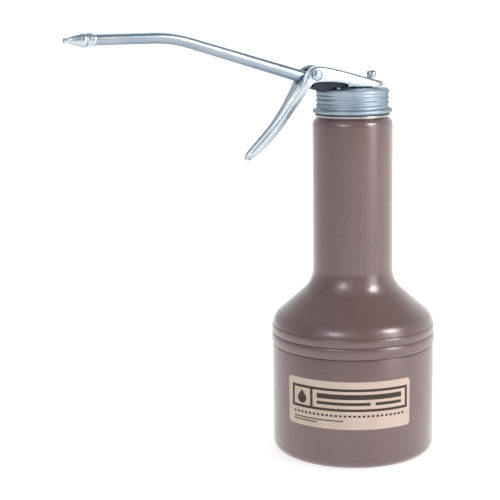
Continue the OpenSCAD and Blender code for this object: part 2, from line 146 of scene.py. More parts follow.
def piece(name, verts, faces, material, body, slot, replaces, sharp=35, second=None, second_faces=()):
    """A new mesh piece that rides on a body. second_faces take the second material, and edges are hard
    where faces meet at more than sharp degrees."""
    mesh = bpy.data.meshes.new(name)
    mesh.from_pydata([tuple(v) for v in verts], [], faces)
    mesh.validate()
    obj = bpy.data.objects.new(name, mesh)
    bpy.context.scene.collection.objects.link(obj)
    mesh.materials.append(material)
    if second:
        mesh.materials.append(second)
        for i in second_faces:
            mesh.polygons[i].material_index = 1
    tidy_normals(obj, sharp)
    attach(obj, body)
    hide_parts(*replaces)
    return obj


def tidy_normals(obj, sharp):
    """Outward normals, smooth shading, and hard edges where faces meet at more than sharp degrees."""
    bm = bmesh.new()
    bm.from_mesh(obj.data)
    bmesh.ops.recalc_face_normals(bm, faces=bm.faces)
    bm.to_mesh(obj.data)
    bm.free()
    obj.data.polygons.foreach_set("use_smooth", [True] * len(obj.data.polygons))
    obj.data.set_sharp_from_angle(angle=math.radians(sharp))


def turned(profile, steps, helix, closed):
    """Vertices and faces of a turned piece. A profile point is (radius, height) or (radius, height,
    swing), where swing is how much of the helix's depth it takes. closed joins the last to the first."""
    verts, rows = [], []
    for point in profile:
        r, z = point[0], point[1]
        swing = point[2] if len(point) > 2 else 0.0
        if r < 1e-7:
            verts.append((0, 0, z))
            rows.append([len(verts) - 1] * steps)
            continue
        row = []
        for i in range(steps):
            a = TAU * i / steps
            rr = r + swing * helix * math.cos(TAU * z / PITCH - a)
            verts.append((rr * math.cos(a), rr * math.sin(a), z))
            row.append(len(verts) - 1)
        rows.append(row)
    faces, strips = [], []
    pairs = list(zip(rows, rows[1:]))
    if closed:
        pairs.append((rows[-1], rows[0]))
    for s, (low, high) in enumerate(pairs):
        for i in range(steps):
            j = (i + 1) % steps
            quad = list(dict.fromkeys((low[i], low[j], high[j], high[i])))
            if len(quad) > 2:
                faces.append(quad)
                strips.append(s)
    return verts, faces, strips


def placed(verts, matrix):
    return [matrix @ Vector(v) for v in verts]


def lathe(name, profile, material, body, slot, at=Matrix(), helix=0.0, second=None, second_from=None,
          closed=True, steps=STEPS, **more):
    """A turned piece. Strips of its profile from second_from on take the second material."""
    verts, faces, strips = turned(profile, steps, helix, closed)
    chosen = [i for i, s in enumerate(strips) if second_from is not None and s >= second_from]
    return piece(name, placed(verts, at), faces, material, body, slot, second=second,
                 second_faces=chosen, **more)


def along(origin, direction):
    """A matrix that puts a turned piece's axis on a line."""
    return Matrix.Translation(origin) @ Vector(direction).to_track_quat("Z", "Y").to_matrix().to_4x4()


def tube_faces(rings, corners):
    """Faces of a solid whose vertices come in rings: quads from ring to ring, and a face at each end."""
    faces = []
    for i in range(rings - 1):
        for k in range(corners):
            m = (k + 1) % corners
            faces.append((i * corners + k, i * corners + m, (i + 1) * corners + m, (i + 1) * corners + k))
    last = (rings - 1) * corners
    return faces + [tuple(range(corners)), tuple(reversed(range(last, last + corners)))]


def swept(path, radii, steps=48):
    """A solid bar along 3-D points, with a radius for each."""
    verts = []
    points = [Vector(p) for p in path]
    side = Vector((0, 1, 0))
    for i, p in enumerate(points):
        way = (points[min(i + 1, len(points) - 1)] - points[max(i - 1, 0)]).normalized()
        up = way.cross(side).normalized()
        for k in range(steps):
            a = TAU * k / steps
            verts.append(p + radii[i] * (math.cos(a) * up + math.sin(a) * side))
    return verts, tube_faces(len(points), steps)


def apply_modifiers(obj):
    """Makes the modified mesh the object's own."""
    graph = bpy.context.evaluated_depsgraph_get()
    mesh = bpy.data.meshes.new_from_object(obj.evaluated_get(graph))
    obj.modifiers.clear()
    obj.data = mesh


def cut(obj, verts, faces):
    """Cuts a closed shape out of a piece."""
    mesh = bpy.data.meshes.new("cutter")
    mesh.from_pydata([tuple(v) for v in verts], [], faces)
    tool = bpy.data.objects.new("cutter", mesh)
    bpy.context.scene.collection.objects.link(tool)
    tidy_normals(tool, 30)
    boolean = obj.modifiers.new("cut", "BOOLEAN")
    boolean.operation, boolean.object, boolean.solver = "DIFFERENCE", tool, "EXACT"
    apply_modifiers(obj)
    bpy.data.objects.remove(tool)


def box_mesh(low, high):
    """A cutter: the box between two corners."""
    xs, ys, zs = zip(low, high)
    verts = [(x, y, z) for x in xs for y in ys for z in zs]
    faces = [(0, 1, 3, 2), (4, 6, 7, 5), (0, 4, 5, 1), (2, 3, 7, 6), (0, 2, 6, 4), (1, 5, 7, 3)]
    return verts, faces


def bar(start, end, radius):
    """A cutter: a round bar between two points."""
    return swept([start, end], [radius, radius])


# ---------------------------------------------------------------- materials
class Nodes:
    """A small writer of node materials. Textures follow the object's own coordinates."""

    def __init__(self, name):
        self.material = bpy.data.materials.new(name)
        self.material.use_nodes = True
        self.tree = self.material.node_tree
        self.shader = self.tree.nodes["Principled BSDF"]
        self.coords = self.add("ShaderNodeTexCoord").outputs["Object"]

    def add(self, kind, **values):
        node = self.tree.nodes.new(kind)
        for key, value in values.items():
            setattr(node, key, value)
        return node

    def link(self, a, b):
        self.tree.links.new(a, b)

    def set(self, **values):
        """Sets sockets of the shader, whose names are written with _ for a space."""
        for key, value in values.items():
            self.shader.inputs[key.replace("_", " ")].default_value = value

    def stretched(self, scale):
        node = self.add("ShaderNodeMapping")
        node.inputs["Scale"].default_value = scale
        self.link(self.coords, node.inputs["Vector"])
        return node.outputs["Vector"]

    def noise(self, scale, detail, roughness=0.55, stretch=(1, 1, 1)):
        """Noise of so many cells to the metre."""
        node = self.add("ShaderNodeTexNoise")
        node.inputs["Scale"].default_value = scale
        node.inputs["Detail"].default_value = detail
        node.inputs["Roughness"].default_value = roughness
        self.link(self.stretched(stretch), node.inputs["Vector"])
        return node.outputs["Fac"]

    def ramp(self, value, stops):
        """Colours for a value, from stops of (place, colour)."""
        node = self.add("ShaderNodeValToRGB")
        ramp = node.color_ramp
        while len(ramp.elements) < len(stops):
            ramp.elements.new(0.5)
        for element, (place, colour) in zip(ramp.elements, stops):
            element.position = place
            element.color = (*colour, 1)
        self.link(value, node.inputs["Fac"])
        return node.outputs["Color"]

    def spread(self, value, low, high, start=0.3, end=0.7):
        """A number that goes from low to high while the value goes from start to end."""
        node = self.add("ShaderNodeMapRange")
        for key, number in zip(("From Min", "From Max", "To Min", "To Max"), (start, end, low, high)):
            node.inputs[key].default_value = number
        self.link(value, node.inputs["Value"])
        return node.outputs["Result"]

    def along(self, way):
        """How far a point is along a direction."""
        node = self.add("ShaderNodeVectorMath", operation="DOT_PRODUCT")
        self.link(self.coords, node.inputs[0])
        node.inputs[1].default_value = way
        return node.outputs["Value"]

    def mixed(self, factor, a, b, blend="MIX"):
        """Two colours mixed. Each input is a socket or a plain value."""
        node = self.add("ShaderNodeMix", data_type="RGBA", blend_type=blend)
        factor_socket, a_socket, b_socket, mixed_socket = 0, 6, 7, 2  # those of the colour mode
        for key, value in ((a_socket, a), (b_socket, b)):
            if isinstance(value, tuple):
                node.inputs[key].default_value = (*value, 1)
            else:
                self.link(value, node.inputs[key])
        if isinstance(factor, float):
            node.inputs[factor_socket].default_value = factor
        else:
            self.link(factor, node.inputs[factor_socket])
        return node.outputs[mixed_socket]

    def maths(self, operation, a, b):
        node = self.add("ShaderNodeMath", operation=operation, use_clamp=operation != "ADD")
        self.link(a, node.inputs[0])
        self.link(b, node.inputs[1])
        return node.outputs["Value"]

    def bump(self, height, distance, strength):
        """Bump on top of any bump that is there already."""
        node = self.add("ShaderNodeBump")
        node.inputs["Strength"].default_value = strength
        node.inputs["Distance"].default_value = distance
        self.link(height, node.inputs["Height"])
        normal = self.shader.inputs["Normal"]
        if normal.is_linked:
            self.link(normal.links[0].from_socket, node.inputs["Normal"])
        self.link(node.outputs["Normal"], normal)

    def colour(self, output):
        self.link(output, self.shader.inputs["Base Color"])

    def rough(self, output):
        self.link(output, self.shader.inputs["Roughness"])


def enamel():
    """Baked enamel: an orange-peel surface, slow changes of tone and a few pin specks."""
    n = Nodes("enamel")
    n.set(Metallic=0.0, IOR=1.6, Specular_Tint=(1.0, 0.86, 1.0, 1))
    n.set(Coat_Weight=1.0, Coat_Roughness=0.23, Coat_IOR=1.6)
    tone = n.ramp(n.noise(28, 3), [(0.3, (0.138, 0.078, 0.073)), (0.7, (0.158, 0.092, 0.086))])
    grain = n.ramp(n.noise(900, 2), [(0.35, (0.84, 0.84, 0.84)), (0.65, (1.0, 1.0, 1.0))])
    base = n.mixed(0.5, tone, grain, "MULTIPLY")
    specks = n.spread(n.noise(2200, 1), 0.0, 0.25, 0.79, 0.84)
    n.colour(n.mixed(specks, base, (0.05, 0.032, 0.03)))
    n.rough(n.spread(n.noise(140, 4), 0.27, 0.39))
    n.bump(n.noise(650, 2), 0.000035, 0.5)
    n.bump(n.noise(70, 2), 0.00012, 0.35)
    return n.material


def plated(name, colour, low, high, stretch=(1, 1, 1), lines=0.2, dents=0.08):
    """Plating: cloudy tones, fine scratches, which the stretch draws out, and small pits. Its roughness
    goes from low to high, and lines and dents are the strengths of its bumps."""
    n = Nodes(name)
    n.set(Metallic=1.0, Specular_Tint=(0.25, 0.29, 0.33, 1))
    dark = tuple(c * k for c, k in zip(colour, (0.82, 0.86, 0.90)))
    warm = tuple(c * k for c, k in zip(colour, (1.06, 1.04, 0.99)))
    cloud = n.ramp(n.noise(110, 5, 0.6), [(0.3, dark), (0.55, colour), (0.75, warm)])
    spots = n.spread(n.noise(900, 2), 0.0, 0.35, 0.70, 0.78)
    n.colour(n.mixed(spots, cloud, tuple(c * 0.45 for c in colour)))
    scratches = n.noise(700, 3, 0.7, stretch)
    haze = n.spread(n.noise(160, 4), low, high)
    n.rough(n.maths("ADD", haze, n.spread(scratches, 0.0, 0.08, 0.4, 0.7)))
    n.bump(scratches, 0.00002, lines)
    n.bump(n.noise(260, 3), 0.00006, dents)
    return n.material


def brass():
    """Turned brass, with tool rings and a warm patina."""
    n = Nodes("brass")
    n.set(Metallic=1.0)
    n.colour(n.ramp(n.noise(180, 5, 0.6), [(0.3, (0.50, 0.33, 0.12)), (0.52, (0.74, 0.54, 0.24)),
                                          (0.75, (0.82, 0.63, 0.32))]))
    tool = n.noise(1, 2, 0.6, (40, 40, 3000))
    n.rough(n.maths("ADD", n.spread(n.noise(300, 4), 0.18, 0.36), n.spread(tool, 0.0, 0.1)))
    n.bump(tool, 0.00002, 0.5)
    return n.material


def tinned():
    """Tin plate, as inside the can."""
    n = Nodes("tinned")
    n.set(Metallic=1.0)
    n.colour(n.ramp(n.noise(60, 5, 0.65), [(0.3, (0.47, 0.48, 0.49)), (0.7, (0.66, 0.67, 0.68))]))
    n.rough(n.spread(n.noise(220, 4), 0.26, 0.46))
    n.bump(n.noise(420, 3), 0.00004, 0.4)
    return n.material


def cast():
    """Die-cast metal: grey, with a fine grain."""
    n = Nodes("cast_metal")
    n.set(Metallic=1.0)
    n.colour(n.ramp(n.noise(350, 5, 0.6), [(0.3, (0.38, 0.39, 0.41)), (0.7, (0.56, 0.57, 0.59))]))
    n.rough(n.spread(n.noise(500, 3), 0.42, 0.6))
    n.bump(n.noise(1400, 3), 0.00004, 0.6)
    return n.material


def paper():
    """Kraft-coloured label paper, lightly varnished, with fibres and slow changes of tone."""
    n = Nodes("label_paper")
    n.set(Metallic=0.0, IOR=1.45, Coat_Weight=0.15, Coat_Roughness=0.35)
    base = n.ramp(n.noise(90, 4, 0.6), [(0.3, (0.60, 0.465, 0.395)), (0.7, (0.69, 0.55, 0.48))])
    fibre = n.spread(n.noise(1100, 4, 0.7, (1, 1, 3)), 0.0, 0.22, 0.45, 0.75)
    n.colour(n.mixed(fibre, base, (0.42, 0.29, 0.20)))
    n.rough(n.spread(n.noise(500, 3), 0.55, 0.75))
    n.bump(n.noise(1300, 3, 0.7), 0.00002, 0.4)
    return n.material


def ink():
    """Printing ink, a little broken where the paper's grain shows."""
    n = Nodes("label_ink")
    n.set(Metallic=0.0)
    n.colour(n.ramp(n.noise(1600, 4, 0.7), [(0.40, (0.030, 0.020, 0.014)), (0.60, (0.045, 0.031, 0.022)),
                                           (0.80, (0.16, 0.11, 0.08))]))
    n.rough(n.spread(n.noise(700, 2), 0.45, 0.65))
    return n.material


def rubber(name, colour):
    """Dull, slightly grainy rubber or packing."""
    n = Nodes(name)
    n.set(Metallic=0.0)
    light = tuple(c * 1.7 for c in colour)
    n.colour(n.ramp(n.noise(500, 4), [(0.3, colour), (0.7, light)]))
    n.rough(n.spread(n.noise(700, 3), 0.65, 0.85))
    n.bump(n.noise(2000, 3), 0.00004, 0.5)
    return n.material


def leather():
    """Oiled leather of the piston's cup."""
    n = Nodes("cup_leather")
    cells = n.add("ShaderNodeTexVoronoi")
    cells.inputs["Scale"].default_value = 2600
    n.link(n.coords, cells.inputs["Vector"])
    n.colour(n.ramp(n.noise(400, 5), [(0.3, (0.08, 0.04, 0.02)), (0.7, (0.17, 0.09, 0.045))]))
    n.rough(n.spread(n.noise(600, 3), 0.4, 0.6))
    n.bump(cells.outputs["Distance"], 0.00006, 0.6)
    return n.material


ENAMEL = enamel()
TINNED = tinned()
ZINC = plated("zinc_plate", (0.53, 0.635, 0.73), 0.16, 0.34)
ZINC_CAP = plated("zinc_cap", (0.475, 0.56, 0.635), 0.44, 0.54, lines=0.05, dents=0.02)
ZINC_DRAWN = plated("zinc_drawn", (0.40, 0.47, 0.54), 0.24, 0.32, (0.04, 1, 1), 0.3, 0.03)
ZINC_PRESSED = plated("zinc_pressed", (0.64, 0.72, 0.79), 0.22, 0.31, lines=0.06, dents=0.03)
# Painted shade: the fulcrum bracket, seen only in the gap under the lever, is coloured near black to stand
# in for the shade there
SHADE_DARK_STEEL = plated("bracket_painted_shade", (0.045, 0.052, 0.062), 0.38, 0.55)
NICKEL = plated("nickel_plate", (0.58, 0.63, 0.66), 0.16, 0.28)
BRASS = brass()
CAST = cast()
PAPER = paper()
INK = ink()
RUBBER = rubber("nitrile", (0.012, 0.012, 0.012))
PACKING = rubber("gland_packing", (0.03, 0.026, 0.02))
LEATHER = leather()
WIRE = plated("spring_wire", (0.42, 0.43, 0.45), 0.25, 0.4)
POLISHED = plated("ball_steel", (0.78, 0.78, 0.79), 0.05, 0.1, lines=0.0)


# ---------------------------------------------------------------- can
def can_body():
    """The lower cup, with its round bottom edge and embossed ring."""
    corner, corner_steps = 4 * MM, 14
    lap_top, lap_foot, joggle = SEAM_Z + 7 * MM, SEAM_Z - 2 * MM, 1 * MM
    rings = [(0, 0), (12.5, 0), (13.2, 0.1), (14.2, 0.9), (14.9, 1), (24.1, 1), (24.8, 0.9), (25.8, 0.1),
             (26.5, 0)]
    outer = in_mm(rings) + arc((BODY_R - corner, corner), corner, -90, 0, corner_steps)
    outer += [(BODY_R, SEAM_Z - 0.7 * MM), (BODY_R - 0.12 * MM, SEAM_Z - 0.25 * MM),
              (BODY_R - 0.45 * MM, SEAM_Z - 0.02 * MM), (BODY_R - CAN_T, SEAM_Z)]
    lap = [(BODY_R - CAN_T, lap_top), (BODY_R - 2 * CAN_T, lap_top),
           (BODY_R - 2 * CAN_T, lap_foot), (BODY_R - CAN_T, lap_foot - joggle)]
    inner = lap + arc((BODY_R - corner, corner), corner - CAN_T, 0, -90, corner_steps)
    inner += [(r * MM, z * MM + CAN_T) for r, z in reversed(rings)]
    lathe("can_lower_body", outer + inner, ENAMEL, "can", "enamel", replaces=["lower_cup"],
          second=TINNED, second_from=len(outer) - 1, closed=False)


def bead(low, height, swell):
    """A rolled bead between two sharp grooves."""
    steps, groove, fullness, sharpness = 14, 0.28 * MM, 0.6, 9
    out = []
    for i in range(steps + 1):
        t = i / steps
        r = BODY_R + swell * math.sin(math.pi * t) ** fullness - groove * (abs(2 * t - 1) ** sharpness)
        out.append((r, low + height * t))
    return out


def can_top():
    """The upper body: two beads, the shoulder, the neck and its turned-in mouth."""
    bead_1, bead_2 = 4.9 * MM, 3.8 * MM
    bend, bend_z, sweep, sweep_z = 8 * MM, 55.4 * MM, 14 * MM, 81 * MM
    edge, edge_z = 3.8 * MM, 142.5 * MM
    shoulder = 48  # where the bend meets the sweep, in degrees of their arcs
    lip_r, lip_round = 15.1 * MM, 0.12 * MM
    outer = bead(SEAM_Z, bead_1, 0.42 * MM) + bead(SEAM_Z + bead_1, bead_2, 0.3 * MM)[1:]
    start = math.degrees(math.asin((SEAM_Z + bead_1 + bead_2 - bend_z) / bend)) + 2
    outer += arc((BODY_R - bend, bend_z), bend, start, shoulder, 14)
    outer += arc((NECK_R + sweep, sweep_z), sweep, 180 + shoulder, 180, 18)
    outer += [(NECK_R, z * MM) for z in (100, 120, 135)]
    outer += arc((NECK_R - edge, edge_z), edge, 0, 62, 12)
    outer += [(lip_r + 0.02 * MM, NECK_TOP - lip_round), (lip_r, NECK_TOP)]
    inner = beside(list(reversed(outer)), -CAN_T)
    lathe("can_upper_body", outer + inner, ENAMEL, "can", "enamel", replaces=["neck_shell"],
          second=TINNED, second_from=len(outer))


def threaded(r, first, last, steps, onset):
    """Profile points of a thread between two heights, which swells and fades over a share 1 / onset."""
    return [(r, first + (last - first) * i / steps, min(1, onset * i / steps, onset * (1 - i / steps)))
            for i in range(steps + 1)]


def ferrule():
    """The plated ferrule in the mouth, with a rolled helical thread."""
    bore, skirt_r, thread_r, collar_r = 13.4 * MM, 14.5 * MM, 14.15 * MM, 16 * MM
    roll, chamfer = 0.4 * MM, 0.12 * MM
    outer = [(bore, FERRULE_FOOT), (skirt_r, FERRULE_FOOT), (skirt_r, NECK_TOP),
             (collar_r - 0.2 * MM, NECK_TOP)]
    outer += arc((collar_r - roll, NECK_TOP + 0.55 * MM), roll, -60, 90)
    outer += threaded(thread_r, NECK_TOP + 1.3 * MM, FERRULE_TOP - 0.5 * MM, 60, 8)
    outer += [(thread_r - 0.2 * MM, FERRULE_TOP - chamfer), (thread_r - 0.4 * MM, FERRULE_TOP),
              (bore + 0.15 * MM, FERRULE_TOP), (bore, FERRULE_TOP - chamfer)]
    lathe("neck_thread", outer, TINNED, "can", "tin_plate", helix=0.2 * MM, replaces=["neck_ferrule"])


# ---------------------------------------------------------------- label
LABEL_PITCH = 0.7 * MM  # distance between its rows of vertices


def wrapped(u, v, lift):
    """A point of the label: u along the can's curve from its middle, v up from its middle."""
    a = LABEL_DIR + u / BODY_R
    r = BODY_R + lift
    return Vector((r * math.cos(a), r * math.sin(a), LABEL_MID + v))


def plate(rows, low, high):
    """A thin closed plate on the can's curve, from rows of (u, v) points of equal length."""
    verts, faces = [], []
    count, width = len(rows), len(rows[0])
    for lift in (low, high):
        for row in rows:
            verts += [wrapped(u, v, lift) for u, v in row]
    layer = count * width
    for i in range(count - 1):
        for k in range(width - 1):
            a = i * width + k
            faces.append((a, a + 1, a + width + 1, a + width))
            faces.append((layer + a, layer + a + width, layer + a + width + 1, layer + a + 1))
    rim = list(range(width)) + [i * width + width - 1 for i in range(1, count)]
    rim += [(count - 1) * width + k for k in range(width - 2, -1, -1)]
    rim += [i * width for i in range(count - 2, 0, -1)]
    for a, b in zip(rim, rim[1:] + rim[:1]):
        faces.append((a, layer + a, layer + b, b))
    return verts, faces


def rounded_rows(half_u, half_v, corner):
    """Rows across a rounded rectangle."""
    parts, corner_steps = 6, 6
    count = int(2 * half_u / LABEL_PITCH)
    marks = sorted({-half_u + 2 * half_u * i / count for i in range(count + 1)}
                   | {s * (half_u - corner * (1 - math.cos(a)))
                      for s in (-1, 1) for a in quarter(corner_steps)})
    rows = []
    for u in marks:
        inside = max(0.0, abs(u) - (half_u - corner))
        drop = corner - math.sqrt(max(corner ** 2 - inside ** 2, 0.0))
        top = half_v - drop
        rows.append([(u, -top + 2 * top * k / parts) for k in range(parts + 1)])
    return rows


def merged(plates):
    """Several meshes as one."""
    verts, faces = [], []
    for more, polygons in plates:
        faces += [tuple(i + len(verts) for i in polygon) for polygon in polygons]
        verts += more
    return verts, faces


def strip_rows(u0, u1, v0, v1):
    """Rows across a plain rectangle."""
    count = max(1, int(abs(u1 - u0) / LABEL_PITCH))
    return [[(u0 + (u1 - u0) * i / count, v0), (u0 + (u1 - u0) * i / count, v1)] for i in range(count + 1)]


def drop_rows(u, v, r):
    """A plain oil drop: a round foot that narrows to a point."""
    tangent, tip, hollow = 1.4, 2.7, 1.15  # heights in foot radii, and how hollow its sides are
    levels, across = 24, 6
    waist = math.sqrt(1 - (tangent - 1) ** 2)
    rows = []
    for i in range(levels + 1):
        height = tip * i / levels
        if height < tangent:
            half = math.sqrt(max(1 - (height - 1) ** 2, 0.0))
        else:
            half = waist * max(1 - (height - tangent) / (tip - tangent), 0.0) ** hollow
        half = max(half, 0.01)
        rows.append([(u + r * half * (2 * k / across - 1), v + r * (height - tip / 2))
                     for k in range(across + 1)])
    return rows


def label():
    """The paper label and its print: a frame, an oil drop and plain bars, with no lettering."""
    verts, faces = plate(rounded_rows(LABEL_HALF, LABEL_HEIGHT / 2, 1.6 * MM), 0.0, 0.16 * MM)
    piece("label_sheet", verts, faces, PAPER, "can", "label_paper", replaces=["label"])
    low, high = 0.14 * MM, 0.175 * MM  # of the ink, over the can's surface
    line, gap = 1.15 * MM, 2 * MM
    left, right = -LABEL_HALF + 2.3 * MM, LABEL_HALF - 1.5 * MM
    top, foot = LABEL_HEIGHT / 2 - 3.0 * MM, LABEL_HEIGHT / 2 - 12.8 * MM
    cell = left + 9.6 * MM
    marks = [strip_rows(left, right, top - line, top), strip_rows(left, right, foot, foot + line),
             strip_rows(left, left + line, foot + line, top - line),
             strip_rows(right - line, right, foot + line, top - line),
             strip_rows(cell, cell + line, foot + line, top - line),
             drop_rows((left + cell + line) / 2, (top + foot) / 2, 2.3 * MM)]
    bars_left, bars_right = cell + line + gap, right - line - gap
    bars_width, width = bars_right - bars_left, right - left
    for start, end, share_up, height in ((0, 1, 0.53, 2.2), (0, 0.62, 0.27, 1.3), (0.68, 1, 0.27, 1.3)):
        base = foot + (top - foot) * share_up
        marks.append(strip_rows(bars_left + bars_width * start, bars_left + bars_width * end,
                                base, base + height * MM))
    inset, thin = 1 * MM, 0.5 * MM
    for base, end in ((-6.9 * MM, 0.46), (-8.1 * MM, 0.24)):
        marks.append(strip_rows(left + inset, left + width * end, base, base + thin))
    meshes = [plate(rows, low, high) for rows in marks]
    dashes, base, height = 26, -4.9 * MM, 0.9 * MM
    pitch = (width - 2 * inset) / dashes
    starts = [left + inset + pitch * i for i in range(dashes)]
    meshes.append(merged([plate(strip_rows(u, u + 0.6 * pitch, base, base + height), low, high)
                          for u in starts]))
    for i, (verts, faces) in enumerate(meshes):
        piece(f"label_mark_{i:02d}", verts, faces, INK, "can", "label_paper", replaces=["label"])


# ---------------------------------------------------------------- cap
def dome(r, lower=0.0):
    """Height of the cap's dome at a radius."""
    return DOME_Z + math.sqrt((DOME_R - lower) ** 2 - r * r)


def cap():
    """The screw cap: curled edge, rolled helical thread, rounded rim and low dome."""
    wall, curl, rim, depth = 0.5 * MM, 0.9 * MM, 1.3 * MM, 0.24 * MM
    curl_z = CAP_FOOT + curl
    mean = CAP_R - depth
    outer = arc((CURL_R - curl, curl_z), curl, -90, 100, 14)
    outer += [(CAP_R + 0.3 * MM, curl_z + 0.95 * MM), (mean, curl_z + 1.2 * MM)]
    last = CAP_TOP - 2.7 * MM
    outer += threaded(mean, curl_z + 1.3 * MM, last, 84, 9)
    outer += [(mean + 0.1 * MM, last + 0.25 * MM), (CAP_R - 0.04 * MM, last + 0.6 * MM)]
    outer += arc((CAP_R - rim, last + 0.9 * MM), rim, 8, 66, 8)
    outer += [(r * MM, dome(r * MM)) for r in (13.4, 12, 10, 8, 6, 4, 2, 0)]
    inner = [(r * MM, dome(r * MM, 0.6 * MM)) for r in (0, 4, 8, 12, 13.6)]
    inner += [(mean - wall, last + 0.4 * MM)]
    inner += reversed(threaded(mean - wall, curl_z + 1.3 * MM, last, 84, 9))
    inner += [(mean - wall, curl_z + 1.0 * MM), (COLLAR_CLEAR_R, curl_z), (COLLAR_CLEAR_R, CAP_FOOT)]
    lathe("cap_shell", outer + inner, ZINC_CAP, "pump_head", "zinc_plate", helix=depth,
          replaces=["screw_cap"], sharp=50, steps=160)


# ---------------------------------------------------------------- spout and nozzle
def spout():
    """The tapered, cranked tube."""
    way = Vector((-math.cos(SLOPE), 0, math.sin(SLOPE)))
    bend_r = 50 * MM
    base_r, end_r = 2.68 * MM, 2.2 * MM
    taper_steps, bend_steps = 12, 24
    into_elbow, into_nozzle = 4 * MM, 3 * MM
    apex = ELBOW + way * ((LEVEL_Z - ELBOW.z) / math.sin(SLOPE))
    reach = bend_r * math.tan(SLOPE / 2)
    start = ELBOW + way * into_elbow
    bend_start = apex - way * reach
    path = [start.lerp(bend_start, i / taper_steps) for i in range(taper_steps)]
    radii = [base_r + (end_r - base_r) * i / taper_steps for i in range(taper_steps)]
    for i in range(bend_steps + 1):
        a = math.pi / 2 - SLOPE * (1 - i / bend_steps)
        path.append(Vector((apex.x - reach + bend_r * math.cos(a), 0,
                            LEVEL_Z - bend_r + bend_r * math.sin(a))))
        radii.append(end_r)
    path.append(Vector((NOZZLE_END + NOZZLE_LEN - into_nozzle, 0, LEVEL_Z)))
    radii.append(end_r)
    verts, faces = swept(path, radii, 64)
    piece("spout_pipe", verts, faces, ZINC_DRAWN, "pump_head", "zinc_plate", replaces=["spout_tube"])


def hexagon(r, low, high, chamfer):
    """A hexagon collar on the Z axis whose corners are chamfered by turning."""
    steps = 96
    apothem = r * math.cos(math.pi / 6)
    face_r = apothem - 0.3 * MM
    levels = [(low, face_r), (low, apothem), (low + chamfer, r), (high - chamfer, r), (high, apothem),
              (high, face_r)]
    verts = []
    for z, limit in levels:
        for i in range(steps):
            a = TAU * i / steps
            flat = apothem / math.cos((a % (math.pi / 3)) - math.pi / 6)
            rr = min(flat, limit)
            verts.append((rr * math.cos(a), rr * math.sin(a), z))
    return verts, tube_faces(len(levels), steps)


def nozzle():
    """The turned nozzle: thin tip with its outlet, pointed body, hexagon collar and sleeve."""
    at = along((NOZZLE_END, 0, LEVEL_Z), (1, 0, 0))
    bore_end, sleeve, end = 3, 2.45, NOZZLE_LEN / MM  # here in millimetres
    hex_r, hex_low, hex_high, chamfer = 2.9, 9.5, 11.7, 0.35
    shape = [(0.5, bore_end), (0.5, 0.1), (0.55, 0), (0.86, 0), (0.97, 0.08), (1, 0.25), (1, 2.15),
             (1.08, 2.3), (1.2, 2.45), (1.5, 3.3), (1.85, 4.3), (2.2, 5.3), (2.34, 5.9), (2.42, 6.4),
             (2.6, 6.9), (2.8, 7.5), (2.9, 8.2), (2.86, 8.7), (2.7, 9.05), (2.4, 9.3), (2.35, hex_low),
             (0, hex_low), (0, bore_end)]
    lathe("nozzle_body", in_mm(shape), ZINC_PRESSED, "pump_head", "zinc_plate", at=at,
          replaces=["nozzle_tip"], closed=False, sharp=28)
    verts, faces = hexagon(hex_r * MM, hex_low * MM, hex_high * MM, chamfer * MM)
    piece("nozzle_hexagon", placed(verts, at), faces, ZINC_PRESSED, "pump_head", "zinc_plate",
          replaces=["nozzle_tip"], sharp=20)
    shape = [(0, hex_high - 0.1), (sleeve - 0.05, hex_high - 0.1), (sleeve, hex_high), (sleeve, end - 0.3),
             (sleeve - 0.1, end - 0.1), (2.22, end), (0, end)]
    lathe("nozzle_sleeve", in_mm(shape), ZINC_PRESSED, "pump_head", "zinc_plate", at=at,
          replaces=["nozzle_tip"], closed=False, sharp=28)


# ---------------------------------------------------------------- lever
# One row for each station from the end of the tail to the tip of the trigger: the outside of the web
# (x, z), the free edge of the flanges (x, z), and half of the width, all in millimetres.
STATIONS = [
    (13.6, 160.4, 13.5, 159.7, 1.6), (12.9, 160.55, 12.8, 159.1, 3.7), (11.5, 160.9, 11.3, 158.6, 4.7),
    (9, 161.5, 8.7, 158.5, 5.3), (3, 163.1, 2.6, 158.9, 5.8), (-3, 164.8, -2.4, 159.3, 6),
    (-8, 166.1, -7.2, 160.7, 6), (-12.5, 167.2, -11.6, 161.3, 6), (-16, 167.9, -15, 161.5, 6),
    (-19, 168.05, -18.2, 161.5, 6), (-21.8, 167, -20.6, 161.2, 6), (-24, 164.7, -21.8, 160.3, 6),
    (-25.6, 161.8, -22.7, 159, 5.7), (-27.5, 158.7, -23.8, 156.7, 5), (-29.9, 155.1, -26, 153, 4.4),
    (-33.2, 150.2, -29.6, 147.8, 3.8), (-37.2, 144.9, -33.8, 142.4, 3.4), (-42, 139.8, -39, 136.9, 3.2),
    (-46.1, 135.7, -43.6, 132.9, 2.9), (-48.5, 133.2, -46.7, 130.9, 2.6), (-49.6, 131.5, -48.4, 130, 1.8),
    (-49.8, 130.7, -49.4, 130, 0.8)]


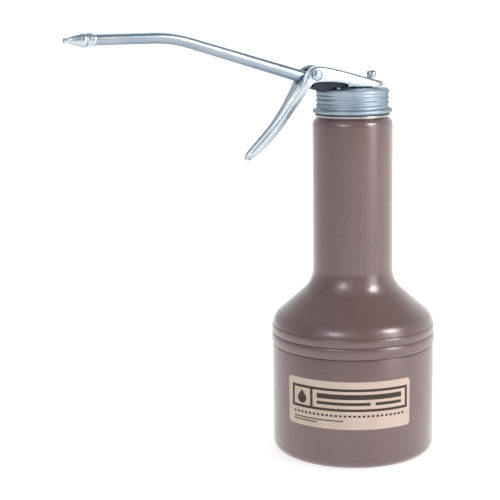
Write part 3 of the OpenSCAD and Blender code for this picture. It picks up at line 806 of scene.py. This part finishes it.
def channel_section(web, edge, half, round_share):
    """Points round one section of the lever's channel: outside from one free edge to the other, then
    back along the inside. round_share, from 0 to 1, rounds the web and leans the flanks inwards. The
    sizes in here are in millimetres."""
    sheet, bend = 1.0, 1.6
    depth = (edge - web).length
    down = (edge - web).normalized()
    bend_y = min(bend + (0.62 * half - bend) * round_share, 0.85 * half)
    bend_d = min(bend + (0.5 * depth - bend) * round_share, 0.9 * depth)
    lean = half * (0.55 * round_share - 0.08)
    half = half + min(lean, 0.0)
    thin = min(sheet, 0.4 * half)
    web_in = min(1.15 * sheet, 0.75 * depth)
    nick = min(0.22, 0.3 * thin, 0.3 * depth)
    angles = quarter(9)
    outside = [(-half + lean + nick, depth), (-half + lean + 0.3 * nick, depth - 0.3 * nick),
               (-half + lean, depth - nick)]
    outside += [(-half + lean * max(d / depth, 0) ** 1.2 + bend_y * (1 - math.cos(a)), d)
                for a in angles for d in [bend_d * (1 - math.sin(a))]]
    in_y, in_d = max(bend_y - thin, 0.12), max(min(bend_d, depth - nick) - web_in, 0.05)
    edge_in = half - lean - thin
    inside = [(edge_in - 0.3 * nick, depth), (edge_in, depth - nick)]
    inside += [(half - thin - in_y * (1 - math.cos(a)), web_in + in_d * (1 - math.sin(a)))
               for a in angles[::2]]
    inside = [(max(y, 0.1 * half), d) for y, d in inside]
    right = [(-y, d) for y, d in reversed(outside)]
    left_in = [(-y, d) for y, d in reversed(inside)]
    return [Vector((web.x + down.x * d, y, web.z + down.z * d)) * MM
            for y, d in outside + right + inside + left_in]


def lever():
    """The stamped trigger lever, with its slots and pivot holes."""
    rows = spline(STATIONS, 5)
    rounding_from, rounding_over = -24, 8  # along X, in millimetres
    verts = []
    for wx, wz, ex, ez, half in rows:
        round_share = min(max((rounding_from - wx) / rounding_over, 0.0), 1.0)
        verts += channel_section(Vector((wx, 0, wz)), Vector((ex, 0, ez)), half, round_share)
    faces = tube_faces(len(rows), len(verts) // len(rows))
    obj = piece("trigger_stamping", verts, faces, ZINC_PRESSED, "lever", "zinc_plate",
                replaces=["trigger_lever"])
    slot, knee = 3.3 * MM, 163.8 * MM  # for the spout
    near, far = -19.5 * MM, -32 * MM
    cut(obj, *bar((near, 0, knee + 0.2 * MM), (near, 0, knee + 9 * MM), slot))
    cut(obj, *box_mesh((far, -slot, knee), (near, slot, knee + 8 * MM)))
    cut(obj, *bar((far, 0, knee), (far + 9.5 * MM, 0, knee), slot))
    rod_slot, below, above = 1.45 * MM, 157 * MM, 165 * MM
    for shift in (-0.15 * MM, 0.55 * MM):
        x = ROD.x + shift
        cut(obj, *bar((x, 0, below), (x, 0, above), rod_slot))
    hole, aside = 1.3 * MM, 10 * MM
    cut(obj, *bar((PIVOT.x, -aside, PIVOT.z), (PIVOT.x, aside, PIVOT.z), hole))
    tidy_normals(obj, 32)


def rivets():
    """Domed heads of the pivot rivets, with the peened ends inside."""
    head = [(0, -3), (1.25, -3), (1.25, 0), (2.1, 0), (2.25, 0.12), (2.3, 0.3)]
    head += [(2.3 * math.cos(a), 0.3 + 0.85 * math.sin(a)) for a in quarter(8)[1:]]
    peen = [(0, -3.05), (1.3, -3.05), (1.55, -2.9), (1.6, -2.75), (1.5, -2.6), (0, -2.6)]
    for side, word in ((-1, "near"), (1, "far")):
        at = along((PIVOT.x, side * 6.1 * MM, PIVOT.z), (0, side, 0))
        for part, shape in (("rivet", head), ("peen", peen)):
            lathe(f"pivot_{part}_{word}", in_mm(shape), ZINC, "pump_head", "rivet_steel", at=at,
                  replaces=["pivot_rivets"], closed=False, steps=48)


def button():
    """The domed button that the lever's tail lifts."""
    low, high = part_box("rod_button")
    foot, top = low.z, high.z
    collar, neck, head, crown = 1.9 * MM, 1.78 * MM, 2.1 * MM, 1.7 * MM
    shape = [(0, foot), (1.75 * MM, foot), (1.88 * MM, foot + 0.12 * MM), (collar, foot + 0.3 * MM),
             (collar, top - 2.35 * MM), (neck, top - 2.25 * MM), (neck, top - 2.1 * MM),
             (2.05 * MM, top - 1.95 * MM), (head, top - 1.75 * MM)]
    shape += [(head * math.cos(a), top - crown + crown * math.sin(a)) for a in quarter(9)[1:]]
    lathe("rod_head", shape, NICKEL, "plunger", "rivet_steel", at=Matrix.Translation((ROD.x, 0, 0)),
          replaces=["rod_button"], closed=False, steps=64)


# ---------------------------------------------------------------- springs
def spring(node, wire, turns):
    """A wound spring with closed ends."""
    low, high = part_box(node)
    centre = (low + high) / 2
    mean = (high.x - low.x) / 2 - wire
    foot, length = low.z + wire, high.z - low.z - 2 * wire
    closed = 2 * wire * 1.05  # rise of the closed turn at each end
    steps_a_turn, ring = 40, 12
    steps = steps_a_turn * turns
    verts = []
    for i in range(steps + 1):
        turn = i / steps_a_turn
        inner = min(max(turn - 1, 0), turns - 2) / (turns - 2)
        rise = closed * (min(turn, 1) + max(turn - turns + 1, 0)) + (length - 2 * closed) * inner
        a = TAU * turn
        out = Vector((math.cos(a), math.sin(a), 0))
        point = Vector((centre.x, centre.y, foot + rise)) + mean * out
        for k in range(ring):
            b = TAU * k / ring
            verts.append(point + wire * (math.cos(b) * out + math.sin(b) * Vector((0, 0, 1))))
    obj = piece(f"{node}_wire", verts, tube_faces(steps + 1, ring), WIRE, "pump_head", "spring_steel",
                replaces=[node])
    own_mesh(obj)


# ---------------------------------------------------------------- the rest
def dress_nodes():
    """Materials of the CAD nodes that stay as they are."""
    looks = {
        "cap_gasket": RUBBER, "slip_washer": BRASS, "pump_block": CAST, "gallery_plug": BRASS,
        # The fulcrum bracket takes the near-black steel that is painted shade for the gap under the lever
        "outlet_seat": BRASS, "fulcrum_bracket": SHADE_DARK_STEEL, "bracket_rivets": NICKEL, "spout_elbow": ZINC,
        "gland_nut": ZINC, "gland_packing": PACKING, "pump_barrel": BRASS, "foot_valve_body": BRASS,
        "inlet_cage": BRASS, "suction_tube": BRASS, "strainer": BRASS, "pump_rod": NICKEL,
        "follower_washer": NICKEL, "piston_cup": LEATHER, "backing_plate": BRASS, "piston_nut": BRASS,
        "inlet_ball": POLISHED, "outlet_ball": POLISHED}
    for name, material in looks.items():
        mesh = frame["nodes"][name].data
        mesh.materials.clear()
        mesh.materials.append(material)


# ---------------------------------------------------------------- studio
def studio():
    """A pale lit floor, the room's light, soft lamps and the camera."""
    size = 6.0
    verts = [(-size, -size, 0), (size, -size, 0), (size, size, 0), (-size, size, 0)]
    mesh = bpy.data.meshes.new("floor")
    mesh.from_pydata(verts, [], [(0, 1, 2, 3)])
    floor = bpy.data.objects.new("floor", mesh)
    bpy.context.scene.collection.objects.link(floor)
    # The floor glows as painted light, a little more far behind the can, and is painted darker, as shade,
    # to the can's left.
    paint = Nodes("floor_paint")
    paint.set(Emission_Color=(1.0, 0.985, 0.99, 1))
    sideways = tuple(r + 0.18 * b for r, b in zip(RIGHT, BACK))
    shade = paint.spread(paint.along(sideways), 0.0, 1.0, -0.6, -0.18)
    paint.colour(paint.ramp(shade, [(0.0, (0.30, 0.295, 0.29)), (1.0, (0.40, 0.39, 0.38))]))
    paint.rough(paint.spread(paint.noise(8, 2), 0.8, 0.9))
    near = paint.spread(paint.along(BACK), 0.6, 0.75, -1.5, -0.6)
    far = paint.spread(paint.along(BACK), 0.0, 0.26, 0.4, 1.4)
    dimmed = paint.spread(shade, 0.75, 1.0, 0.0, 1.0)
    glow = paint.maths("MULTIPLY", paint.maths("ADD", near, far), dimmed)
    paint.link(glow, paint.shader.inputs["Emission Strength"])
    mesh.materials.append(paint.material)
    bpy.context.scene.view_settings.view_transform = "Standard"
    world()
    # name, place, size, power in watts, colour
    lamp("key", (0.55, -0.75, 0.75), (0.34, 0.34), 5.4, (1.0, 0.975, 0.95))
    lamp("fill", (-0.75, -0.55, 0.62), (0.3, 0.3), 1.4, (0.97, 0.98, 1.0))
    lamp("left", (-0.9, -0.65, 0.9), (1.2, 1.0), 1.8, (0.97, 0.98, 1.0))
    lamp("back", (0.3, 0.9, 1.0), (0.9, 0.6), 6.0, (1.0, 1.0, 1.0))
    lamp("strip", (0.50, -0.70, 0.26), (0.3, 0.45), 0.9, (1.0, 0.96, 0.97))
    lamp("card", (0.75, -1.45, 0.4), (0.7, 0.8), 2.1, (1.0, 0.93, 0.88))
    lamp("gleam", (-0.75, 0.45, 0.75), (0.9, 0.9), 3.6, (0.97, 0.985, 1.0), only=["trigger_stamping"])
    camera()


def world():
    """Light from the room: a bright sweep low behind the object, dimmer to its left, and a dim room above
    and before it. The backdrop itself is seen as plain white."""
    sky = bpy.data.worlds.new("studio")
    bpy.context.scene.world = sky
    sky.use_nodes = True
    tree = sky.node_tree
    background = tree.nodes["Background"]

    def add(kind, inputs=(), **values):
        node = tree.nodes.new(kind)
        for key, value in values.items():
            setattr(node, key, value)
        for key, value in inputs:
            if isinstance(value, bpy.types.NodeSocket):
                tree.links.new(value, node.inputs[key])
            else:
                node.inputs[key].default_value = value
        return node.outputs

    way = add("ShaderNodeTexCoord")["Generated"]
    behind = add("ShaderNodeVectorMath", [(0, way), (1, BACK)], operation="DOT_PRODUCT")["Value"]
    height = add("ShaderNodeSeparateXYZ", [(0, way)])["Z"]
    far = add("ShaderNodeMapRange", [("Value", behind), ("From Min", -0.35), ("From Max", 0.45)],
              interpolation_type="SMOOTHSTEP")["Result"]
    low = add("ShaderNodeMapRange", [("Value", height), ("From Min", 0.75), ("From Max", 0.15)],
              interpolation_type="SMOOTHSTEP")["Result"]
    side = add("ShaderNodeVectorMath", [(0, way), (1, RIGHT)], operation="DOT_PRODUCT")["Value"]
    lit = add("ShaderNodeMapRange",
              [("Value", side), ("From Min", -0.8), ("From Max", 0.1), ("To Min", 0.45)],
              interpolation_type="SMOOTHSTEP")["Result"]
    low = add("ShaderNodeMath", [(0, low), (1, lit)], operation="MULTIPLY")["Value"]
    sweep = add("ShaderNodeMath", [(0, far), (1, low)], operation="MULTIPLY")["Value"]
    light = add("ShaderNodeMapRange", [("Value", sweep), ("To Min", 0.32), ("To Max", 1.0)])["Result"]
    seen = add("ShaderNodeLightPath")["Is Camera Ray"]
    shown = add("ShaderNodeMapRange", [("Value", seen), ("To Min", light), ("To Max", 1.06)])["Result"]
    background.inputs["Color"].default_value = (0.95, 0.98, 1.0, 1)
    tree.links.new(shown, background.inputs["Strength"])


def lamp(name, place, size, power, colour, only=()):
    """A soft rectangular lamp that points at the can. It lights everything, or only the named pieces."""
    data = bpy.data.lights.new(name, "AREA")
    data.shape = "RECTANGLE"
    data.size, data.size_y = size
    data.energy, data.color = power, colour
    obj = bpy.data.objects.new(name, data)
    obj.visible_camera = False
    obj.location = place
    target = Vector((0, 0, 0.1))
    obj.rotation_euler = (target - Vector(place)).to_track_quat("-Z", "Y").to_euler()
    bpy.context.scene.collection.objects.link(obj)
    if only:
        lit = bpy.data.collections.new(f"{name}_lights")
        for piece_name in only:
            lit.objects.link(bpy.data.objects[piece_name])
        obj.light_linking.receiver_collection = lit


def camera():
    """A long lens, a little above the can, turned so that the can stands right of the middle."""
    azimuth, distance, height = math.radians(-26.93), 0.5922, 0.1998
    yaw, pitch, roll = math.radians(4.31), math.radians(10.66), math.radians(-0.84)
    data = bpy.data.cameras.new("camera")
    data.sensor_width = 36
    data.lens = 99.7
    obj = bpy.data.objects.new("camera", data)
    obj.location = (distance * math.sin(azimuth), -distance * math.cos(azimuth), height)
    heading = azimuth + yaw
    forward = Vector((-math.sin(heading) * math.cos(pitch), math.cos(heading) * math.cos(pitch),
                      -math.sin(pitch)))
    level = forward.to_track_quat("-Z", "Y")
    obj.rotation_euler = (level @ Quaternion((0, 0, 1), roll)).to_euler()
    bpy.context.scene.collection.objects.link(obj)
    bpy.context.scene.camera = obj


can_body()
can_top()
ferrule()
label()
cap()
spout()
nozzle()
lever()
rivets()
button()
spring("return_spring", 0.28 * MM, 12)
spring("outlet_spring", 0.16 * MM, 5)
dress_nodes()
studio()
